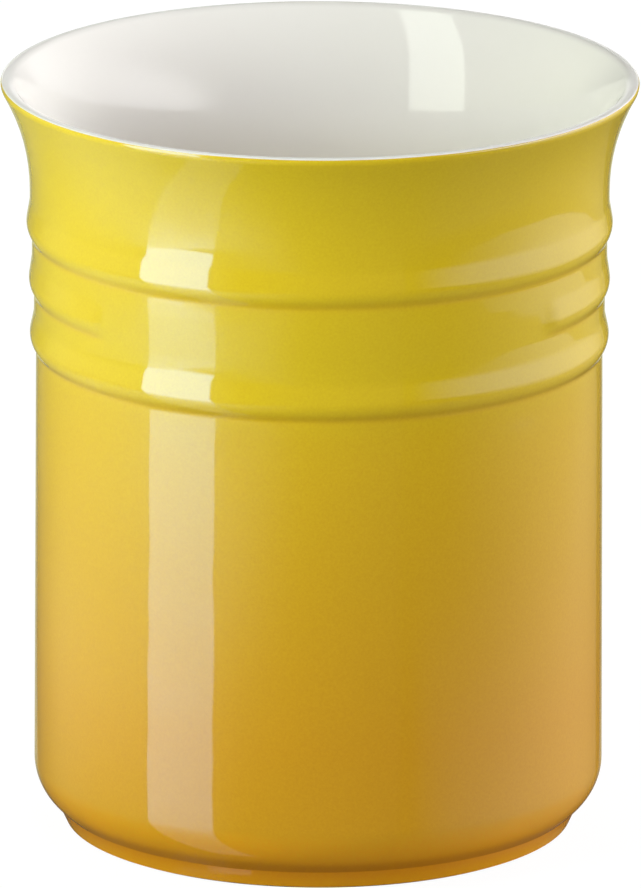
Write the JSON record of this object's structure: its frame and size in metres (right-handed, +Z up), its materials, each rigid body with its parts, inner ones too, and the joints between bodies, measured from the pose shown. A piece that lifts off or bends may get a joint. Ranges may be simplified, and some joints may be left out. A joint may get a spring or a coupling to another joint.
{
  "type": "utensil crock",
  "caption": "Round glazed stoneware crock with a flared mouth, raised rings under the flare, straight wall and a slim foot ring, open at the top to hold kitchen utensils.",
  "frame": {"origin": "centre of the foot, on the surface that the crock stands on", "axes": "+Z up along the crock's axis, -Y towards the front, where the middle ring is interrupted"},
  "size_m": [0.1256, 0.1256, 0.1514],
  "materials": {
    "bare_stoneware": "matt fired clay, bare on the foot ring",
    "yellow_glaze": "gloss, graded from lemon yellow at the rim to amber at the foot, finely mottled",
    "white_glaze": "gloss, warm white, inside and over the lip",
    "base_glaze": "gloss, amber"
  },
  "bodies": {
    "root": {"stoneware_body": "bare_stoneware", "outer_glaze": "yellow_glaze", "liner_glaze": "white_glaze", "base_glaze": "base_glaze"}
  },
  "joints": []
}
